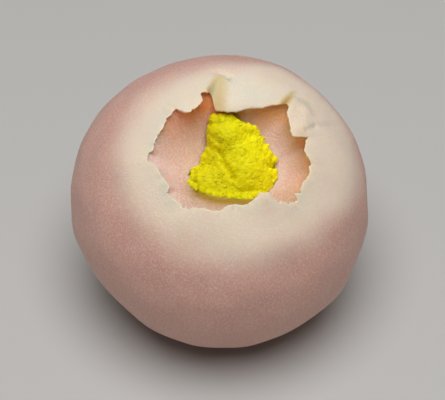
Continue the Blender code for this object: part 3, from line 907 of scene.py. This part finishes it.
def strewn_grains(name, places, half_sizes, draw):
    """One mesh of many grains, each with its own place, half sizes, turn and slight lumpiness."""
    points, faces = one_grain()
    count = len(places)
    lumpy = draw.normal(size=(count, len(points), 1)).clip(-GRAIN_LUMPINESS_MOST, GRAIN_LUMPINESS_MOST)
    shaped = points[None] * (1.0 + GRAIN_LUMPINESS * lumpy) * half_sizes[:, None, :]
    placed = np.einsum("nij,npj->npi", random_turns(count, draw), shaped) + places[:, None, :]
    all_faces = (faces[None] + (np.arange(count) * len(points))[:, None, None]).reshape(-1, 3)
    mesh = bpy.data.meshes.new(name)
    mesh.from_pydata(placed.reshape(-1, 3).tolist(), [], all_faces.tolist())
    mesh.shade_smooth()
    piece = bpy.data.objects.new(name, mesh)
    bpy.context.scene.collection.objects.link(piece)
    return piece


def grains_on(heap, name, count, size, sunk, draw):
    """Grains all over what shows of the heap, each sunk in it by a share of its radius between these two."""
    points, normals = points_of(heap), points_of(heap, "normal")
    local = in_mouth(points)
    shown = np.flatnonzero(local[:, 2] > hollow_height(local[:, :2]) + GRAINS_ABOVE_WALL)
    chosen = draw.choice(shown, size=count, replace=False)
    radius = size / 2.0 * np.exp(draw.normal(0.0, GRAIN_VARIETY, count))
    places = points[chosen] - normals[chosen] * (radius * draw.uniform(*sunk, count))[:, None]
    half_sizes = radius[:, None] * draw.uniform(*GRAIN_STRETCH, (count, 3))
    return strewn_grains(name, places, half_sizes, draw)


def new_material(name):
    material = bpy.data.materials.new(name)
    material.use_nodes = True
    tree = material.node_tree
    return material, tree, tree.nodes["Principled BSDF"]


def on_object(tree, kind):
    """A node of this kind that reads Object coordinates."""
    place = tree.nodes.new("ShaderNodeTexCoord")
    node = tree.nodes.new(kind)
    tree.links.new(place.outputs["Object"], node.inputs["Vector"])
    return node


def noise(tree, scale, detail, roughness):
    node = on_object(tree, "ShaderNodeTexNoise")
    for name, value in (("Scale", scale), ("Detail", detail), ("Roughness", roughness)):
        node.inputs[name].default_value = value
    return node.outputs["Fac"]


def mixed_colour(tree, first, second, share):
    """A Mix of two colours. Each of them, and the share, is a value or a socket."""
    node = tree.nodes.new("ShaderNodeMix")
    node.data_type = "RGBA"
    for socket, given in ((node.inputs[6], first), (node.inputs[7], second), (node.inputs[0], share)):
        if isinstance(given, bpy.types.NodeSocket):
            tree.links.new(given, socket)
        elif isinstance(given, (int, float)):
            socket.default_value = given
        else:
            socket.default_value = (*given, 1.0)
    return node.outputs[2]


def ranged(tree, socket, low, high, to_low=0.0, to_high=1.0):
    node = tree.nodes.new("ShaderNodeMapRange")
    tree.links.new(socket, node.inputs["Value"])
    for name, value in (("From Min", low), ("From Max", high), ("To Min", to_low), ("To Max", to_high)):
        node.inputs[name].default_value = value
    return node.outputs["Result"]


def combined(tree, operation, first, second):
    node = tree.nodes.new("ShaderNodeMath")
    node.operation = operation
    tree.links.new(first, node.inputs[0])
    tree.links.new(second, node.inputs[1])
    return node.outputs[0]


def vertex_value(tree, name):
    node = tree.nodes.new("ShaderNodeAttribute")
    node.attribute_name = name
    return node.outputs["Fac"]


def grain_bump(tree, shader, heights, depths):
    """Bumps laid over each other, each with its height socket and its depth in metres."""
    below = None
    for height, depth in zip(heights, depths):
        bump = tree.nodes.new("ShaderNodeBump")
        bump.inputs["Distance"].default_value = depth
        tree.links.new(height, bump.inputs["Height"])
        if below is not None:
            tree.links.new(below, bump.inputs["Normal"])
        below = bump.outputs["Normal"]
    tree.links.new(below, shader.inputs["Normal"])


def give_finish(tree, shader, colour, finish, softness=None):
    """The shader's colour, its roughness and specular level, and how light spreads inside."""
    tree.links.new(colour, shader.inputs["Base Color"])
    values = dict(zip(("Roughness", "Specular IOR Level"), finish))
    if softness is not None:
        values.update(zip(("Subsurface Weight", "Subsurface Radius", "Subsurface Scale"), softness))
    for name, value in values.items():
        shader.inputs[name].default_value = value


def skin_material(settings):
    material, tree, shader = new_material("torn dough")
    mottle, speckle, lumps = (noise(tree, *pattern) for pattern in (SKIN_MOTTLE, SKIN_SPECKLE, SKIN_LUMPS))
    place = on_object(tree, "ShaderNodeSeparateXYZ")
    blush = combined(tree, "ADD", vertex_value(tree, "blush"), ranged(tree, mottle, *SKIN_BLUSH_MOTTLED))
    pink = mixed_colour(tree, settings.pink, settings.back_pink, ranged(tree, place.outputs["Y"], *SKIN_BACK))
    colour = mixed_colour(tree, settings.cream, pink, blush)
    colour = mixed_colour(tree, colour, settings.torn_edge, vertex_value(tree, "torn"))
    thin_and_shaded = vertex_value(tree, "thin_and_shaded")
    # Tan of thin dough, partly painted shade on the flap's curled face and by the front right lump
    colour = mixed_colour(tree, colour, settings.thin_and_shaded_dough, ranged(tree, thin_and_shaded, 0.0, 1.0))
    colour = mixed_colour(tree, colour, settings.thinnest_dough, ranged(tree, thin_and_shaded, 1.0, 2.0))
    where_thin_and_shaded = ranged(tree, thin_and_shaded, *SKIN_GRAIN_WHERE_THIN_AND_SHADED)
    grain = combined(tree, "MULTIPLY", ranged(tree, speckle, *SKIN_GRAIN), where_thin_and_shaded)
    give_finish(tree, shader, mixed_colour(tree, colour, settings.sugar, grain), DOUGH_FINISH, SKIN_SOFTNESS)
    grain_bump(tree, shader, (lumps, speckle), SKIN_BUMPS)
    return material


def core_material(settings):
    material, tree, shader = new_material("pink dough")
    mottle, speckle, lumps = (noise(tree, *pattern) for pattern in (CORE_MOTTLE, CORE_SPECKLE, CORE_LUMPS))
    place = on_object(tree, "ShaderNodeSeparateXYZ")
    rim_shade_and_glow, heap_shadow = vertex_value(tree, "rim_shade_and_glow"), vertex_value(tree, "heap_shadow")
    right = ranged(tree, place.outputs["X"], *CORE_RIGHT)
    # The low and front masks place the painted shade at the front of the hollow
    low, front = ranged(tree, place.outputs["Y"], *CORE_SHADE_LOW), ranged(tree, place.outputs["X"], *CORE_SHADE_FRONT)
    deeper = ranged(tree, mottle, *CORE_MOTTLED)
    colour = mixed_colour(tree, settings.hollow_pink, settings.hollow_deep, deeper)
    colour = mixed_colour(tree, colour, settings.hollow_right, right)
    # Painted shade towards the front of the hollow
    colour = mixed_colour(tree, colour, settings.hollow_front_shade, combined(tree, "MULTIPLY", low, front))
    # Painted shade under the rim: an orange glow of light through the skin at the left, a tan shade under the
    # flap and the right rim
    rim_shade_colour = mixed_colour(tree, settings.left_rim_shade_and_glow, settings.flap_shade_and_glow, right)
    colour = mixed_colour(tree, colour, rim_shade_colour, rim_shade_and_glow)
    # Painted shadow of the heap, tinted yellow by the crumb
    colour = mixed_colour(tree, colour, settings.heap_shadow, heap_shadow)
    # The pale grain fades where shade, glow and shadow are painted
    where_painted_shade = ranged(tree, combined(tree, "ADD", rim_shade_and_glow, heap_shadow), *CORE_GRAIN_WHERE_PAINTED_SHADE)
    grain = combined(tree, "MULTIPLY", ranged(tree, speckle, *CORE_GRAIN), where_painted_shade)
    grain = combined(tree, "MULTIPLY", grain, ranged(tree, right, *CORE_GRAIN_AT_RIGHT))
    give_finish(tree, shader, mixed_colour(tree, colour, settings.grain, grain), DOUGH_FINISH, CORE_SOFTNESS)
    grain_bump(tree, shader, (lumps, speckle), CORE_BUMPS)
    return material


def crumb_material(settings, softness):
    """The crumb. Light spreads less far in a loose grain than in the heap."""
    material, tree, shader = new_material("yellow crumb")
    mottle, speckle = noise(tree, *CRUMB_MOTTLE), noise(tree, *CRUMB_SPECKLE)
    place = on_object(tree, "ShaderNodeSeparateXYZ")
    right = ranged(tree, place.outputs["X"], *CRUMB_SHADE_FADES_RIGHT)
    back = ranged(tree, place.outputs["Y"], *CRUMB_SHADE_FADES_BACK)
    brighter = ranged(tree, mottle, *CRUMB_MOTTLED)
    colour = mixed_colour(tree, settings.crumb_deep, settings.crumb_yellow, brighter)
    # Painted shade on the crumb at the left and the front
    colour = mixed_colour(tree, settings.crumb_left_front_shade, colour, combined(tree, "MULTIPLY", right, back))
    give_finish(tree, shader, colour, CRUMB_FINISH, softness)
    grain_bump(tree, shader, (mottle, speckle), CRUMB_BUMPS)
    return material


def floor_material(settings):
    material, tree, shader = new_material("pale floor")
    darker = [FLOOR_CLOUDED * value for value in settings.floor_colour]
    colour = mixed_colour(tree, darker, settings.floor_colour, noise(tree, *FLOOR_CLOUD))
    give_finish(tree, shader, colour, FLOOR_FINISH)
    return material


def colour_property(name, description, default):
    return FloatVectorProperty(
        name=name, description=description, subtype="COLOR", size=3, min=0.0, max=1.0, default=default
    )


def length_property(name, description, default):
    return FloatProperty(
        name=name, description=description, subtype="DISTANCE", unit="LENGTH", min=0.0, precision=5,
        default=default,
    )


class NerikiriSkinSettings(bpy.types.PropertyGroup):
    """Sizes and colours of the torn skin."""

    edge_thickness: length_property(
        "Edge thickness", "Thickness of the skin at its torn edge", EDGE_THICKNESS
    )
    tear_rag: length_property("Raggedness", "Height of the fine waves of the torn edge", 0.055 * MM)
    cream: colour_property("Cream", "Colour of the dough round the mouth", (0.81, 0.672, 0.535))
    pink: colour_property("Pink", "Colour of the dough down the sides", (0.65, 0.355, 0.29))
    back_pink: colour_property("Deeper pink", "Colour of the dough at the back", (0.565, 0.285, 0.24))
    torn_edge: colour_property("Torn edge", "Colour of the thin torn edge", (0.86, 0.67, 0.50))
    # Tan of thin dough, and painted shade on the flap's curled face and by the front right lump
    thin_and_shaded_dough: colour_property(
        "Thin and shaded dough", "Colour of the dough where it is stretched thin", (0.67, 0.52, 0.28)
    )
    thinnest_dough: colour_property(
        "Thinnest dough", "Colour where the hollow shows through", (0.46, 0.28, 0.07)
    )
    sugar: colour_property("Grain", "Colour of the dough's fine pale grain", (0.90, 0.78, 0.68))


class NerikiriCoreSettings(bpy.types.PropertyGroup):
    """Colours of the pink dough in the hollow."""

    hollow_pink: colour_property("Pink", "Colour of the dough in the hollow", (0.93, 0.60, 0.53))
    hollow_deep: colour_property("Deeper pink", "Colour of its darker patches", (0.92, 0.56, 0.47))
    hollow_right: colour_property(
        "Right pink", "Colour of the dough at the right of the hollow", (0.80, 0.59, 0.58)
    )
    # Painted shade at the front of the hollow
    hollow_front_shade: colour_property(
        "Front pink", "Colour of the dough at the front of the hollow", (0.61, 0.38, 0.29)
    )
    # The next two are painted shade and glow under the rim, not the dough's own colour
    left_rim_shade_and_glow: colour_property("Under the left rim", "Colour under the rim at the left", (1.0, 0.29, 0.07))
    flap_shade_and_glow: colour_property(
        "Under the flap", "Colour under the flap and the right rim", (0.96, 0.52, 0.275)
    )
    grain: colour_property("Grain", "Colour of the dough's fine pale grain", (1.0, 0.82, 0.78))
    # Painted shadow of the heap on the dough, tinted yellow
    heap_shadow: colour_property("Heap shadow", "Colour of the heap's shadow painted on the dough", (0.37, 0.205, 0.012))


class NerikiriCrumbSettings(bpy.types.PropertyGroup):
    """Sizes and colours of the yellow crumb."""

    crumb_yellow: colour_property("Yellow", "Colour of the crumb", (0.88, 0.84, 0.006))
    crumb_deep: colour_property("Deeper yellow", "Colour of the crumb's darker patches", (0.85, 0.77, 0.004))
    # Painted shade of the crumb at the left and the front
    crumb_left_front_shade: colour_property(
        "Left yellow", "Colour of the crumb at the left and the front", (0.66, 0.613, 0.003)
    )
    clod_size: length_property("Clod size", "Width of the heap's soft swellings", 0.8 * MM)
    clod_height: length_property("Clod height", "Height of the heap's soft swellings", 0.07 * MM)
    crumb_size: length_property("Crumb size", "Width of the crumbs that the heap is pressed from", 0.6 * MM)
    crumb_height: length_property("Crumb height", "How far those crumbs stand out", 0.04 * MM)
    pressed_size: length_property(
        "Pressed grain size", "Usual width of a grain pressed into the heap", 0.46 * MM
    )
    grain_size: length_property("Loose grain size", "Usual width of a loose grain", 0.32 * MM)
    grain_count: IntProperty(
        name="Loose grains", description="Number of loose grains", min=1, max=2400, default=220
    )


class NerikiriStageSettings(bpy.types.PropertyGroup):
    """The floor, the light and the camera."""

    floor_colour: colour_property("Floor", "Colour of the floor", (0.50, 0.49, 0.475))
    camera_distance: length_property("Camera distance", "From the middle of the ball to the camera", 0.26)
    light_power: FloatProperty(
        name="Light", description="Power of the soft light overhead", unit="POWER", min=0.0, default=5.2
    )
    light_size: length_property("Light size", "Width of the soft light overhead", 0.55)
    sky: FloatProperty(name="Fill", description="Strength of the light from all round", min=0.0, default=0.10)


class NerikiriSettings(bpy.types.PropertyGroup):
    """All that a user would change."""

    skin: PointerProperty(type=NerikiriSkinSettings, name="Skin", description="The torn skin")
    core: PointerProperty(type=NerikiriCoreSettings, name="Core", description="The pink dough")
    crumb: PointerProperty(type=NerikiriCrumbSettings, name="Crumb", description="The yellow crumb")
    stage: PointerProperty(type=NerikiriStageSettings, name="Stage", description="Floor, light and camera")


def finish_piece(piece, material, slot, *nodes):
    piece.data.materials.clear()
    piece.data.materials.append(material)
    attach(piece, "root")
    if nodes:
        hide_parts(*nodes)


class OBJECT_OT_nerikiri_skin(bpy.types.Operator):
    """Add the thin torn skin over the solid of the outer dough"""

    bl_idname = "object.nerikiri_skin"
    bl_label = "Torn skin"

    def execute(self, context):
        settings = context.scene.nerikiri.skin
        finish_piece(torn_skin(settings), skin_material(settings), "outer_dough", "outer_dough")
        return {"FINISHED"}


class OBJECT_OT_nerikiri_core(bpy.types.Operator):
    """Add the pink dough with its hollow"""

    bl_idname = "object.nerikiri_core"
    bl_label = "Pink hollow"

    def execute(self, context):
        settings = context.scene.nerikiri.core
        finish_piece(hollow_core(), core_material(settings), "pink_core", "pink_core")
        return {"FINISHED"}


class OBJECT_OT_nerikiri_crumb(bpy.types.Operator):
    """Add the heap of crumb and its loose grains"""

    bl_idname = "object.nerikiri_crumb"
    bl_label = "Yellow crumb"

    def execute(self, context):
        settings = context.scene.nerikiri.crumb
        heap = crumb_heap(settings)
        finish_piece(heap, crumb_material(settings, HEAP_SOFTNESS), "yellow_crumb", "yellow_crumb")
        draw = np.random.default_rng(LOOSE_SEED)
        loose = grains_on(heap, "loose_grains", settings.grain_count, settings.grain_size, LOOSE_DEPTH, draw)
        finish_piece(loose, crumb_material(settings, LOOSE_SOFTNESS), "yellow_crumb")
        return {"FINISHED"}


class OBJECT_OT_nerikiri_stage(bpy.types.Operator):
    """Add the floor, the soft light and the camera"""

    bl_idname = "object.nerikiri_stage"
    bl_label = "Stage"

    def execute(self, context):
        settings = context.scene.nerikiri.stage
        add_floor(settings)
        add_light(context, settings)
        add_camera(context, settings)
        return {"FINISHED"}


def add_floor(settings):
    clear_selection()
    bpy.ops.mesh.primitive_plane_add(size=FLOOR_WIDTH)
    floor = bpy.context.object
    floor.name = floor.data.name = "floor"
    floor.data.materials.append(floor_material(settings))


def add_light(context, settings):
    light = bpy.data.lights.new("soft light", "AREA")
    light.shape = "DISK"
    light.size = settings.light_size
    light.energy = settings.light_power
    lamp = bpy.data.objects.new("soft light", light)
    target = Vector((0.0, 0.0, CENTRE_HEIGHT))
    lamp.location = LIGHT_PLACE
    lamp.rotation_euler = (target - lamp.location).to_track_quat("-Z", "Y").to_euler()
    context.scene.collection.objects.link(lamp)
    world = bpy.data.worlds.new("studio")
    world.use_nodes = True
    sky = world.node_tree.nodes["Background"]
    sky.inputs["Color"].default_value = SKY_COLOUR
    sky.inputs["Strength"].default_value = settings.sky
    context.scene.world = world


def add_camera(context, settings):
    camera = bpy.data.cameras.new("camera")
    ahead = Vector((0.0, math.cos(CAMERA_ELEVATION), -math.sin(CAMERA_ELEVATION)))
    viewer = bpy.data.objects.new("camera", camera)
    viewer.location = Vector(BALL_CENTRE) - ahead * settings.camera_distance
    viewer.rotation_euler = ahead.to_track_quat("-Z", "Y").to_euler()
    beside = math.sqrt(settings.camera_distance**2 - BALL_RADIUS**2)
    camera.sensor_width = SENSOR_WIDTH
    camera.lens = BALL_RADIUS_IN_PHOTO * beside / BALL_RADIUS * SENSOR_WIDTH / PHOTO_SIZE[0]
    camera.shift_x = (PHOTO_SIZE[0] / 2.0 - BALL_IN_PHOTO[0]) / PHOTO_SIZE[0]
    camera.shift_y = (BALL_IN_PHOTO[1] - PHOTO_SIZE[1] / 2.0) / PHOTO_SIZE[0]
    camera.clip_start = CLIP_START
    context.scene.collection.objects.link(viewer)
    context.scene.camera = viewer
    context.scene.view_settings.view_transform = "Standard"


class VIEW3D_PT_nerikiri(bpy.types.Panel):
    """Lists the nerikiri's pieces"""

    bl_label = "Nerikiri"
    bl_space_type = "VIEW_3D"
    bl_region_type = "UI"
    bl_category = "Nerikiri"

    def draw(self, context):
        settings = context.scene.nerikiri
        for group, operator in (
            (settings.skin, OBJECT_OT_nerikiri_skin),
            (settings.core, OBJECT_OT_nerikiri_core),
            (settings.crumb, OBJECT_OT_nerikiri_crumb),
            (settings.stage, OBJECT_OT_nerikiri_stage),
        ):
            box = self.layout.box()
            for name in group.__annotations__:
                box.prop(group, name)
            box.operator(operator.bl_idname)


CLASSES = (
    NerikiriSkinSettings,
    NerikiriCoreSettings,
    NerikiriCrumbSettings,
    NerikiriStageSettings,
    NerikiriSettings,
    OBJECT_OT_nerikiri_skin,
    OBJECT_OT_nerikiri_core,
    OBJECT_OT_nerikiri_crumb,
    OBJECT_OT_nerikiri_stage,
    VIEW3D_PT_nerikiri,
)


def register():
    for made in CLASSES:
        bpy.utils.register_class(made)
    bpy.types.Scene.nerikiri = PointerProperty(type=NerikiriSettings)


def unregister():
    del bpy.types.Scene.nerikiri
    for made in reversed(CLASSES):
        bpy.utils.unregister_class(made)


def main():
    register()
    bpy.ops.object.nerikiri_skin()
    bpy.ops.object.nerikiri_core()
    bpy.ops.object.nerikiri_crumb()
    bpy.ops.object.nerikiri_stage()
    clear_selection()


if __name__ == "__main__":
    main()
